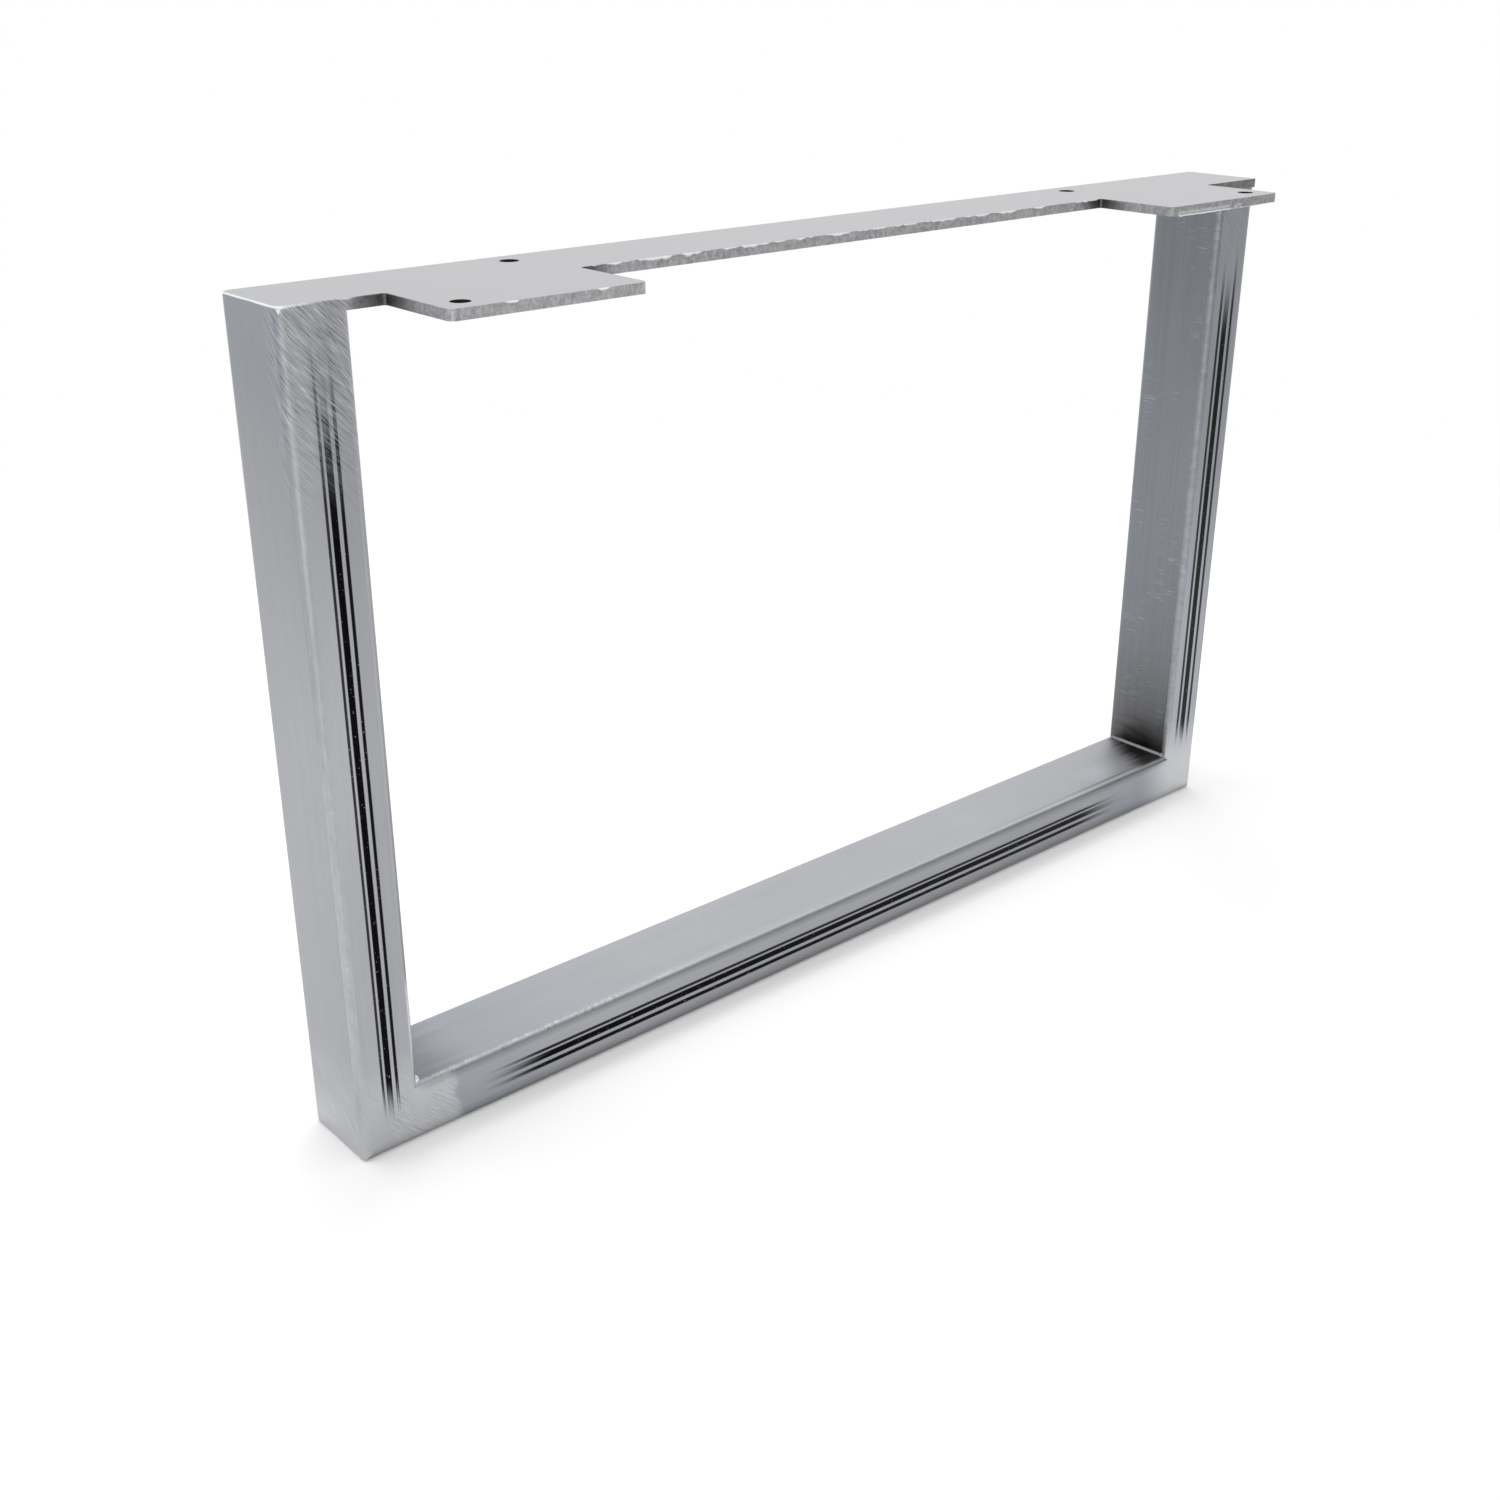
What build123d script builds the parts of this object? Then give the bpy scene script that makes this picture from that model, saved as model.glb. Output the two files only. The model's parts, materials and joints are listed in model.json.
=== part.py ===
"""Welded U-frame furniture leg: mitred rectangular steel tubes under a flat top plate with two screw tabs.

Frame of the part: X runs along the width, -Y is the side the tabs point to, +Z is up.
The origin lies on the floor, under the middle of the bottom bar.
"""

import os

from build123d import *

# Overall sizes of the leg, in millimetres
frame_width = 800.0
frame_height = 500.0

# Rectangular tube of the frame, one section for all three lengths
tube_face = 40.0
tube_depth = 60.0
tube_wall = 2.5
tube_corner_radius = 5.0
least_inner_radius = 0.3

# Outer mitre corners, welded and ground flush
ground_corner_radius = 2.0

# Top plate and its two screw tabs
plate_thickness = 6.0
tab_width = 120.0
tab_reach = 60.0
tab_inset = 60.0
tab_corner_radius = 4.0
tab_root_radius = 2.0

# Screw holes, two on a diagonal of each tab
screw_hole_diameter = 11.0
screw_hole_margin = 16.0

# Fillet bead left standing in each inside corner of the frame
weld_leg = 3.0
weld_crown = 0.4

# Slack used when points are picked by their position
pick_tolerance = 0.001

# Sizes that follow from the ones above
half_width = frame_width / 2
upright_height = frame_height - plate_thickness
upright_centre = half_width - tube_face / 2
tube_inner_radius = max(tube_corner_radius - tube_wall, least_inner_radius)
strip_front = -tube_depth / 2
tab_front = strip_front - tab_reach
tab_centre = half_width - tab_inset - tab_width / 2
outer_hole = tab_centre + tab_width / 2 - screw_hole_margin
inner_hole = tab_centre - tab_width / 2 + screw_hole_margin
front_hole = tab_front + screw_hole_margin
back_hole = tube_depth / 2 - screw_hole_margin
weld_length = tube_depth - 2 * tube_corner_radius


def tube_section(x_size, y_size):
    """Draws the hollow tube section in the sketch that is being built."""
    RectangleRounded(x_size, y_size, tube_corner_radius)
    RectangleRounded(
        x_size - 2 * tube_wall,
        y_size - 2 * tube_wall,
        tube_inner_radius,
        mode=Mode.SUBTRACT,
    )


# Mitre planes rise at 45 degrees from the two outer corners, normals towards the uprights
left_mitre = Plane(origin=(-half_width, 0, 0), z_dir=(-1, 0, 1))
right_mitre = Plane(origin=(half_width, 0, 0), z_dir=(1, 0, 1))

# Front outline of the frame with its two ground outer corners, low in the sketch's own Y
with BuildSketch(Plane.XZ) as ground_outline:
    with Locations((0, upright_height / 2)):
        Rectangle(frame_width, upright_height)
    fillet(ground_outline.vertices().group_by(Axis.Y)[0], radius=ground_corner_radius)

# Bottom bar, mitred at both ends
with BuildPart() as bottom_bar:
    with BuildSketch(Plane.YZ) as bar_section:
        with Locations((0, tube_face / 2)):
            tube_section(tube_depth, tube_face)
    extrude(amount=half_width, both=True)
    split(bisect_by=left_mitre, keep=Keep.BOTTOM)
    split(bisect_by=right_mitre, keep=Keep.BOTTOM)
    extrude(ground_outline.sketch, amount=tube_depth, both=True, mode=Mode.INTERSECT)

# Left upright, square under the plate and mitred at the floor
with BuildPart() as left_upright:
    with BuildSketch(Plane.XY) as left_section:
        with Locations((-upright_centre, 0)):
            tube_section(tube_face, tube_depth)
    extrude(amount=upright_height)
    split(bisect_by=left_mitre, keep=Keep.TOP)
    extrude(ground_outline.sketch, amount=tube_depth, both=True, mode=Mode.INTERSECT)

# Right upright, the left one seen in the middle plane of the leg
with BuildPart() as right_upright:
    add(mirror(left_upright.part, about=Plane.YZ, mode=Mode.PRIVATE))

# Top plate: a strip as deep as the tube, two tabs with rounded corners and roots, and the screw holes
with BuildPart() as top_plate:
    with BuildSketch(Plane.XY.offset(upright_height)) as plate_outline:
        Rectangle(frame_width, tube_depth)
        with Locations(
            (-tab_centre, strip_front - tab_reach / 2),
            (tab_centre, strip_front - tab_reach / 2),
        ):
            Rectangle(tab_width, tab_reach)
        tab_corners = plate_outline.vertices().group_by(Axis.Y)[0]
        fillet(tab_corners, radius=tab_corner_radius)
        strip_vertices = plate_outline.vertices().filter_by_position(
            Axis.Y, strip_front - pick_tolerance, strip_front + pick_tolerance
        )
        tab_roots = strip_vertices.sort_by(Axis.X)[1:-1]
        fillet(tab_roots, radius=tab_root_radius)
    extrude(amount=plate_thickness)
    with Locations(
        (-outer_hole, front_hole, frame_height),
        (-inner_hole, back_hole, frame_height),
        (inner_hole, back_hole, frame_height),
        (outer_hole, front_hole, frame_height),
    ):
        Hole(screw_hole_diameter / 2, depth=plate_thickness)

# Fillet bead in the left inside corner: two flat legs on the tubes and a slightly crowned face
with BuildPart() as left_corner_weld:
    with BuildSketch(Plane.XZ) as bead_section:
        with BuildLine() as bead_outline:
            corner = (-half_width + tube_face, tube_face)
            bar_toe = (corner[0] + weld_leg, corner[1])
            upright_toe = (corner[0], corner[1] + weld_leg)
            Line(upright_toe, corner)
            Line(corner, bar_toe)
            SagittaArc(bar_toe, upright_toe, -weld_crown)
        make_face()
    extrude(amount=weld_length / 2, both=True)

# Fillet bead in the right inside corner
with BuildPart() as right_corner_weld:
    add(mirror(left_corner_weld.part, about=Plane.YZ, mode=Mode.PRIVATE))

os.makedirs("parts", exist_ok=True)
for name, piece in {
    "top_plate": top_plate,
    "left_upright": left_upright,
    "right_upright": right_upright,
    "bottom_bar": bottom_bar,
    "left_corner_weld": left_corner_weld,
    "right_corner_weld": right_corner_weld,
}.items():
    piece.part.label = name
    export_step(piece.part, f"parts/{name}.step")
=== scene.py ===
"""Looks of the welded steel furniture leg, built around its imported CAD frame.

Everything is in metres, in the frame of the CAD part: X runs along the width, -Y is the side of the screw
tabs and +Z is up. The tubes stay as the CAD made them and get their finish here. The plate and the weld
beads are rebuilt as meshes, with the torch-cut edges, burrs and ripples of the real ones.
"""

import json
import math

import bmesh
import bpy
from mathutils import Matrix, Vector, noise


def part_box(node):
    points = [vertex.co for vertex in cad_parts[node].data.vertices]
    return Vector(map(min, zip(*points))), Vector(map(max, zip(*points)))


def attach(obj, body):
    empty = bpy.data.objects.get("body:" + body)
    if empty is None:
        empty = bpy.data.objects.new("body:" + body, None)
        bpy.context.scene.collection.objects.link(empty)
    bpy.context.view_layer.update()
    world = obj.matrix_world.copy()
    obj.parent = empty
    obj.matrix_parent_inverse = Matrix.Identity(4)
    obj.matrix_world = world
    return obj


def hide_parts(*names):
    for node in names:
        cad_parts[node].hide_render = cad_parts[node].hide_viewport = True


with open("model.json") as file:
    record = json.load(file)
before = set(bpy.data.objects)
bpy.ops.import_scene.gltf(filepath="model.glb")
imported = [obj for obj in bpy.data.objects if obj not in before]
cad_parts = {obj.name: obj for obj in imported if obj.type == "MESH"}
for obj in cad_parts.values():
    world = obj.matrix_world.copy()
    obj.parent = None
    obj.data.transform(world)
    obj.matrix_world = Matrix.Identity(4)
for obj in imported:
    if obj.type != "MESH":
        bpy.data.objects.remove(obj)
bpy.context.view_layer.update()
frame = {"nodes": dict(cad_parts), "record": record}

MM = 0.001

# Places read from the frame
plate_low, plate_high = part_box("top_plate")
bar_low, bar_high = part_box("bottom_bar")
bead_low, bead_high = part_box("left_corner_weld")
half_width = plate_high.x
strip_front = bar_low.y
strip_back = bar_high.y
tab_front = plate_low.y
plate_under = plate_low.z
plate_top = plate_high.z
bead_corner_x = abs(bead_low.x)

# Sizes of the part that the boxes don't give
tab_inset = 60 * MM
tab_width = 120 * MM
tab_corner_radius = 4 * MM
tab_root_radius = 2 * MM
tube_corner_radius = 5 * MM

tab_outer = half_width - tab_inset
tab_inner = tab_outer - tab_width


class Value:
    """One output of a shader node, with the arithmetic that a formula needs."""

    def __init__(self, graph, socket):
        self.graph = graph
        self.socket = socket

    def __add__(self, other):
        return self.graph.math("ADD", self, other)

    def __sub__(self, other):
        return self.graph.math("SUBTRACT", self, other)

    def __rsub__(self, other):
        return self.graph.math("SUBTRACT", other, self)

    def __mul__(self, other):
        return self.graph.math("MULTIPLY", self, other)

    def __neg__(self):
        return self.graph.math("MULTIPLY", self, -1.0)

    def __abs__(self):
        return self.graph.math("ABSOLUTE", self)

    __radd__ = __add__
    __rmul__ = __mul__

    def most(self, other):
        return self.graph.math("MAXIMUM", self, other)

    def step(self, low, high):
        """Smooth step from 0 at low to 1 at high, also where low is the larger one."""
        made = self.graph.node("ShaderNodeMapRange", interpolation_type="SMOOTHSTEP")
        for name, value in (("Value", self), ("From Min", low), ("From Max", high)):
            self.graph.feed(made.inputs[name], value)
        return Value(self.graph, made.outputs["Result"])

    def over(self, start, end):
        """The same step between two places that are given in millimetres."""
        return self.step(start * MM, end * MM)

    def line(self, centre, half, soft):
        """1 within half of the centre, with soft flanks."""
        return abs(self - centre).step(half + soft, half - soft)


class Graph:
    """Adds nodes to one node tree, so that a finish reads as a formula."""

    def __init__(self, tree):
        self.tree = tree
        tree.nodes.clear()

    def node(self, kind, **settings):
        made = self.tree.nodes.new(kind)
        for name, value in settings.items():
            setattr(made, name, value)
        return made

    def feed(self, socket, value):
        if isinstance(value, Value):
            self.tree.links.new(value.socket, socket)
        else:
            socket.default_value = value

    def output(self, node, name):
        return Value(self, node.outputs[name])

    def math(self, operation, *values):
        made = self.node("ShaderNodeMath", operation=operation)
        for socket, value in zip(made.inputs, values):
            self.feed(socket, value)
        return Value(self, made.outputs[0])

    def split(self, vector):
        made = self.node("ShaderNodeSeparateXYZ")
        self.feed(made.inputs[0], vector)
        return [Value(self, socket) for socket in made.outputs]

    def join(self, x, y, z):
        made = self.node("ShaderNodeCombineXYZ")
        for socket, value in zip(made.inputs, (x, y, z)):
            self.feed(socket, value)
        return Value(self, made.outputs[0])

    def noise(self, vector, per_metre, detail=2.0, roughness=0.5):
        """Noise from 0 to 1, with its own number of features per metre along each axis."""
        scaled = self.node("ShaderNodeVectorMath", operation="MULTIPLY")
        self.feed(scaled.inputs[0], vector)
        scaled.inputs[1].default_value = per_metre
        made = self.node("ShaderNodeTexNoise")
        self.feed(made.inputs["Vector"], Value(self, scaled.outputs[0]))
        made.inputs["Scale"].default_value = 1.0
        made.inputs["Detail"].default_value = detail
        made.inputs["Roughness"].default_value = roughness
        return self.output(made, "Fac")

    def blend(self, share, first, second):
        """The first number where share is 0, the second where it is 1."""
        made = self.node("ShaderNodeMix", data_type="FLOAT")
        self.feed(made.inputs[0], share)
        self.feed(made.inputs[2], first)
        self.feed(made.inputs[3], second)
        return Value(self, made.outputs[0])

    def tint(self, share, first, second):
        """The first colour where share is 0, the second where it is 1."""
        made = self.node("ShaderNodeMix", data_type="RGBA")
        self.feed(made.inputs[0], share)
        self.feed(made.inputs[6], first)
        self.feed(made.inputs[7], second)
        return Value(self, made.outputs[2])

    def shade(self, colour, value):
        """A colour times a number."""
        made = self.node("ShaderNodeVectorMath", operation="SCALE")
        self.feed(made.inputs[0], colour if isinstance(colour, Value) else colour[:3])
        self.feed(made.inputs["Scale"], value)
        return Value(self, made.outputs[0])

    def shown(self):
        """1 for rays that show a surface, straight, through glass or mirrored; 0 for those that light it."""
        path = self.node("ShaderNodeLightPath")
        straight = self.output(path, "Is Camera Ray").most(self.output(path, "Is Transmission Ray"))
        return straight.most(self.output(path, "Is Glossy Ray"))


class Finish(Graph):
    """A steel finish in the frame of the part, with its place and normal at hand."""

    def __init__(self, name):
        self.material = bpy.data.materials.new(name)
        self.material.use_nodes = True
        super().__init__(self.material.node_tree)
        coordinates = self.node("ShaderNodeTexCoord")
        self.place = self.output(coordinates, "Object")
        self.x, self.y, self.z = self.split(self.place)
        self.nx, self.ny, self.nz = self.split(self.output(coordinates, "Normal"))
        self.facing_left = self.nx.step(-0.5, -0.9)

    def attribute(self, name):
        return self.output(self.node("ShaderNodeAttribute", attribute_name=name), "Fac")

    def finish(self, colour, roughness, height, depth):
        """Ends the material: a metal of that colour and roughness, with relief of that depth in metres."""
        bump = self.node("ShaderNodeBump")
        bump.inputs["Strength"].default_value = 1.0
        bump.inputs["Distance"].default_value = depth
        self.feed(bump.inputs["Height"], height)
        shader = self.node("ShaderNodeBsdfPrincipled")
        self.feed(shader.inputs["Base Color"], colour)
        self.feed(shader.inputs["Roughness"], roughness)
        shader.inputs["Metallic"].default_value = 1.0
        self.feed(shader.inputs["Normal"], self.output(bump, "Normal"))
        out = self.node("ShaderNodeOutputMaterial")
        self.tree.links.new(shader.outputs[0], out.inputs["Surface"])
        return self.material


# Colours of the steel: as drawn, as ground, the plate, and where welding left it blue or brown
DRAWN = (0.93, 0.95, 1.0, 1.0)
GROUND = (0.945, 0.958, 1.0, 1.0)
PLATE = (0.97, 0.975, 1.0, 1.0)
BLUED = (0.87, 0.915, 1.0, 1.0)
BROWNED = (1.0, 0.965, 0.96, 1.0)

# Reflectance of each tube: plain faces, front, and the face towards the opening of the frame. The faces
# differ partly as painted light and shade.
TONES = {
    "left_upright": (0.41, 0.465, 0.36),
    "right_upright": (0.42, 0.42, 0.29),
    "bottom_bar": (0.45, 0.40, 0.545),
}

# How much the drawing lines, the clouds and the grit change that reflectance
FINE_LINES = 0.07
BROAD_LINES = 0.05
CLOUDS = 0.07
GRIT = 0.06

# Reflectance of the ground corners at the foot, and of the outer side of the left one, set darker as painted
# shade
GROUND_LEFT = 0.50
GROUND_RIGHT = 0.60
GROUND_OUTER = 0.43

# Reflectance of the ground patch under the plate, on the front and on the outer side as painted light and
# shade, and of its strokes
GROUND_TOP = 0.535
GROUND_TOP_OUTER = 0.475
TOP_STROKES = 0.155

# Reflectance of the plate's faces and cut edges, and of bare bright metal on its burrs, set near white as a
# painted highlight
PLATE_FACE = 0.522
PLATE_EDGE = 0.505
BURR_GLINT = 0.95

# Depth of the relief of each finish
TUBE_RELIEF = 0.03 * MM
PLATE_RELIEF = 0.12 * MM
BORE_RELIEF = 0.05 * MM
BEAD_RELIEF = 0.1 * MM

# How strongly the weld's tint and the painted corner shade darken the inside of each upright
HEAT_AND_SHADE = {"left_upright": 0.45, "right_upright": 1.0}

# Dark lines along the front of each tube, lengths in millimetres: lines as (place across the tube, half
# width, darkness, how much further its far end goes), where along the tube it starts, is whole, begins to go
# and is gone, and how far its ends fray
FRONT_LINES = {
    "left_upright": {
        "lines": ((-383.7, 0.85, 0.93, 25), (-379.5, 2.0, 0.99, 12), (-374.3, 1.05, 0.98, 22)),
        "span": (20, 50, 412, 468),
        "fray": 28,
    },
    "right_upright": {
        "lines": ((373.0, 1.45, 0.93, 16), (379.8, 3.0, 0.995, 0), (387.3, 1.45, 0.94, 16)),
        "span": (42, 70, 385, 440),
        "fray": 40,
    },
    "bottom_bar": {
        "lines": ((23.9, 1.1, 0.95, 0), (19.4, 2.15, 0.995, 0), (13.4, 1.45, 0.985, 0)),
        "span": (-318, -268, 250, 308),
        "fray": 48,
    },
}
FRONT_LINE_SOFT = 0.3 * MM

# Grinder strokes: slope in the front view, and features per metre across and along them
STROKES = ((math.radians(45), 1650), (math.radians(56), 1250))
STROKES_ALONG = 78


def drawing_lines(steel, bar=False):
    """Lengthwise lines of a drawn tube: fine ones and broad ones, each from 0 to 1."""
    fine = steel.noise(steel.place, (6, 800, 800) if bar else (800, 800, 6), detail=3)
    broad = steel.noise(steel.place, (2, 150, 150) if bar else (150, 150, 2), detail=2)
    return fine, broad


def mill_clouds(steel):
    """Large soft clouds of a drawn tube, from 0 to 1."""
    return steel.noise(steel.place, (11, 11, 7), detail=3)


def grinder_marks(steel):
    """Grinder strokes, light above 0 and dark below: diagonals in the front view, run on round the edges."""
    side = steel.x.over(-382, -378) * 2.0 - 1.0
    unrolled = steel.x + (steel.y - strip_front) * side
    strokes = []
    for slope, across in STROKES:
        along = unrolled * math.cos(slope) - steel.z * math.sin(slope)
        aside = unrolled * math.sin(slope) + steel.z * math.cos(slope)
        stroke_place = steel.join(along, aside, across * MM)
        strokes.append(steel.noise(stroke_place, (STROKES_ALONG, across, 1), detail=2))
    first, second = strokes
    light = first.step(0.55, 0.66) + second.step(0.58, 0.68) * 0.7
    dark = first.step(0.46, 0.35) + second.step(0.43, 0.33) * 0.6
    return light - dark


def ground_under_plate(steel):
    """Share of the ground patch at the top of the left upright, on its front and round its front edge."""
    ragged = (steel.noise(steel.place, (45, 45, 45), detail=3) - 0.5) * (50 * MM)
    high = (steel.z + ragged).over(380, 460)
    near_front = steel.y.over(-9, -27)
    return high * near_front * steel.x.step(-bead_corner_x + 4 * MM, -bead_corner_x)


def ground_top_tone(steel, marks):
    """Reflectance of that patch with its strokes, with painted shade: darker towards the opening and on the
    outer side.
    """
    on_front = steel.x.over(-390, -368) * -0.055 + GROUND_TOP
    return marks * TOP_STROKES + steel.blend(steel.facing_left, on_front, GROUND_TOP_OUTER)


def left_edge_tone(steel):
    """Front edges of the left upright: painted light and dark lines and a patchy painted sheen outside,
    lighter towards the top, and a painted highlight inside near the foot.
    """
    # Painted sheen, broken into patches
    worn = (steel.noise(steel.place, (320, 320, 110), detail=4, roughness=0.65) - 0.5) * 0.2
    lines = steel.nx.line(-0.75, 0.3, 0.25) * 0.015 - steel.nx.line(-0.42, 0.1, 0.08) * 0.025
    outer = lines + (worn + 0.47) + steel.z.over(300, 390) * 0.075
    inner_foot_highlight = steel.nx.step(0.2, 0.5) * steel.z.over(118, 100)
    return steel.blend(inner_foot_highlight, steel.blend(steel.nx.step(0.1, 0.4), outer, 0.36), 0.95)


def right_edge_tone(steel):
    """Front edges of the right upright: a patchy painted highlight inside and painted shade outside."""
    # Painted highlight, broken into patches
    worn = (steel.noise(steel.place, (120, 120, 190), detail=4, roughness=0.6) - 0.5) * 0.26
    return steel.blend(steel.nx.step(0.0, 0.3), worn + 0.365, 0.155)


def bar_edge_tone(steel):
    """Front edges of the bottom bar: a painted highlight on the upper edge over a painted dark line, both
    darker towards the right.
    """
    near_right = steel.x.over(230, 310)
    painted_dark_line = near_right * -0.06 + 0.29
    upper_edge_highlight = near_right * -0.2 + 0.62
    upper = steel.blend(steel.nz.step(0.15, 0.65), painted_dark_line, upper_edge_highlight)
    return steel.blend(steel.nz.step(-0.1, 0.1), 0.36, upper)


EDGE_TONES = {
    "left_upright": left_edge_tone,
    "right_upright": right_edge_tone,
    "bottom_bar": bar_edge_tone,
}


class TubeSteel(Finish):
    """Mill-finish tube steel: faint drawing lines, dark lines along the front, weld tint with painted corner
    shade, bare ground corners, and painted light and shade by face and edge.
    """

    def __init__(self, node):
        super().__init__(node + "_steel")
        self.node_name = node
        self.bar = node == "bottom_bar"
        self.left = node == "left_upright"
        self.right = node == "right_upright"
        self.fine, self.broad = drawing_lines(self, self.bar)
        self.cloud = mill_clouds(self)
        self.marks = grinder_marks(self)
        self.patches = self.noise(self.place, (38, 38, 38), detail=2).step(0.36, 0.62)

        # Where the front, the rounded front edges, the face towards the opening and the right half are
        self.front = self.ny.step(-0.85, -0.97)
        flat = abs(self.nx).most(abs(self.ny)).most(abs(self.nz)).step(0.975, 0.9995)
        self.edge = (1.0 - flat) * self.ny.step(-0.05, -0.2)
        inner = self.nz if self.bar else self.nx if self.left else -self.nx
        self.inward = inner.step(0.5, 0.9)
        self.right_side = self.x.over(-100, 100)

        self.ground = self.ground_corners()
        self.heat_and_shade = self.tint_and_corner_shade()

    def ground_corners(self):
        """Share of the bare corners at the foot: a ragged border at the left and a soft one at the right."""
        ragged = (self.noise(self.place, (45, 45, 45), detail=3) - 0.5) * (20 * MM)
        if self.bar:
            bulge = self.z.line(20 * MM, 5 * MM, 7 * MM) * (5 * MM)
            left_corner = (ragged - self.x - self.z * 0.12 - bulge).over(325, 333)
            ground = left_corner.most(self.x.over(325, 372))
        elif self.left:
            ground = (self.z + ragged).over(74, 38)
        else:
            ground = self.z.over(82, 26)
        ground = ground * (1.0 - self.inward)
        if self.bar:
            # The painted dark line along the upper edge runs on into the right corner
            ground = ground * (1.0 - self.edge * self.nz.step(0.02, 0.15) * self.right_side)
        return ground

    def tint_and_corner_shade(self):
        """Darkness round the inside corners: a streaky weld tint with painted corner shade, on the uprights
        most in mid weld; on the bar's top at the right it is also a painted dark reflection of the upright.
        """
        streaks = self.noise(self.place, (16, 240, 16) if self.bar else (45, 45, 240), detail=3)
        from_corner = abs(abs(self.x) - bead_corner_x).most(abs(self.z - bead_low.z))
        from_corner = from_corner + (streaks - 0.5) * (24 * MM)
        if self.bar:
            left_heat = from_corner.over(48, 0) * 0.30 + from_corner.over(220, 20) * 0.19
            # Painted dark reflection of the right upright on the bar's top, with the weld tint
            burnt = 0.92 - self.y.over(-10, -24) * 0.12
            right_tint_and_reflection = (from_corner + self.y * 0.6).over(26, 4) * burnt
            return self.blend(self.right_side, left_heat, right_tint_and_reflection) * self.inward
        # Weld tint with painted corner shade on the uprights
        middle = 1.0 - self.y.over(8, 26) * 0.55 - self.y.over(-6, -24) * 0.27
        spread = from_corner.over(115, 0) * 0.42 + from_corner.over(35, 0) * 0.46
        return spread * middle * self.inward * HEAT_AND_SHADE[self.node_name]

    def front_line_darkness(self):
        """Darkness of the dark lines on the front face, ragged at both ends, with specks of bare steel."""
        run, across = (self.x, self.z) if self.bar else (self.z, self.x)
        line_set = FRONT_LINES[self.node_name]
        start, whole, fading, gone = line_set["span"]
        wander = (self.noise(self.place, (9, 9, 9), detail=1) - 0.5) * (0.5 * MM)
        frayed = run + (self.fine - 0.5) * (line_set["fray"] * MM)
        dark = 0.0
        for place, half, darkness, further in line_set["lines"]:
            there = frayed.over(start, whole) * frayed.over(gone + further, fading + further)
            mark = (across + wander).line(place * MM, half * MM, FRONT_LINE_SOFT) * there * darkness
            dark = mark.most(dark)
        if self.left:
            # Haze round the upper ends of the lines
            haze = across.line(-379 * MM, 6.5 * MM, 2 * MM) * self.z.over(490, 465) * self.z.over(400, 440)
            dark = dark.most(haze * 0.2)
        specks = self.noise(self.place, (650, 650, 650), detail=1).step(0.70, 0.78)
        return dark * self.front * (1.0 - specks * 0.45)

    def roll_marks(self):
        """Short light marks of the straightening rolls, crosswise, on every face but the front."""
        dashes = self.noise(self.place, (900, 80, 80) if self.bar else (80, 80, 900), detail=1)
        patchy = self.noise(self.place, (30, 30, 16), detail=1)
        dashes = dashes.step(0.58, 0.74) * patchy.step(0.46, 0.62) * (1.0 - self.front)
        if self.bar:
            return dashes * 0.015
        if self.left:
            return dashes * (self.facing_left * -0.7 + 1.0) * 0.06
        return dashes * 0.11

    def drawn_tone(self):
        """Reflectance of the drawn faces and of their rounded front edges, with painted light and shade: the
        uprights lighter and darker by height and across their fronts, their insides darker towards the foot,
        and a painted light patch on the bar's top near the right corner.
        """
        plain, facing, inside = TONES[self.node_name]
        if self.left:
            # Painted light and shade on the left upright, by height and across its front
            plain = self.blend(self.z.over(120, 400), plain - 0.038, plain + 0.033)
            plain = plain - self.z.over(400, 480) * 0.033
            facing = self.x.over(-384, -374) * -0.062 + self.z.over(300, 400) * 0.045 + facing
            facing = facing - self.z.over(240, 130) * self.x.over(-376, -386) * 0.028
        elif self.right:
            # Painted light at the top of the right upright's front
            facing = self.z.over(340, 410) * 0.03 + facing
        if self.bar:
            facing = self.x.over(-220, 220) * -0.05 + facing
            # Painted light patch on the bar's top near the right corner, lightening a dark reflection there
            painted_light_patch = self.x.over(265, 300) * self.x.over(345, 322) * self.y.over(4, -16)
            inside = self.x.over(-180, -310) * 0.05 + painted_light_patch * 0.11 + inside
        else:
            # Painted shade: the inside of the uprights darker towards the foot
            inside = self.blend(self.z.over(60, 420), inside - 0.08, inside)
        tone = self.blend(self.inward, self.blend(self.front, plain, facing), inside)
        return self.blend(self.edge, tone, EDGE_TONES[self.node_name](self))

    def ground_tone(self):
        """Reflectance of the bare corners at the foot, with patches of grinder strokes at the left, and
        painted light and shade on the left one: its outer side darker and lighter near the floor, its edges
        darker.
        """
        outer_side = self.z.over(40, 8) * 0.09 + GROUND_OUTER
        left_tone = self.blend(self.facing_left, GROUND_LEFT, outer_side)
        left_tone = left_tone - self.edge * self.nx.step(0.0, -0.3) * 0.015
        if self.bar:
            left_tone = self.x.over(-378, -358) * 0.03 + left_tone
        left_tone = left_tone + self.marks * self.patches * 0.09
        right_tone = self.marks * 0.015 + GROUND_RIGHT
        return self.blend(self.right_side, left_tone, right_tone) + (self.cloud - 0.5) * 0.05

    def bar_front_light_and_shade(self, tone):
        """The bar's front: painted shade near the floor and under its upper edge, and towards the left a
        ragged burr on that edge, painted bright as a highlight.
        """
        on_front = self.front.most(self.edge)
        # Painted shade near the floor, standing for the floor's shadow mirrored in the bar, and under the
        # upper edge
        low = self.z.over(10, 2) * on_front
        lowest = self.z.over(4.5, 1.5) * on_front
        under = self.z.over(31, 35.5) * self.nz.step(0.4, 0.2) * on_front * abs(self.x).over(366, 350)
        under_shade_strength = self.x.over(230, 310) * 0.08 + 0.24
        tone = tone * (1.0 - low * (0.30 - self.ground * 0.1))
        tone = tone * (1.0 - lowest * 0.3) * (1.0 - under * under_shade_strength)

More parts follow.
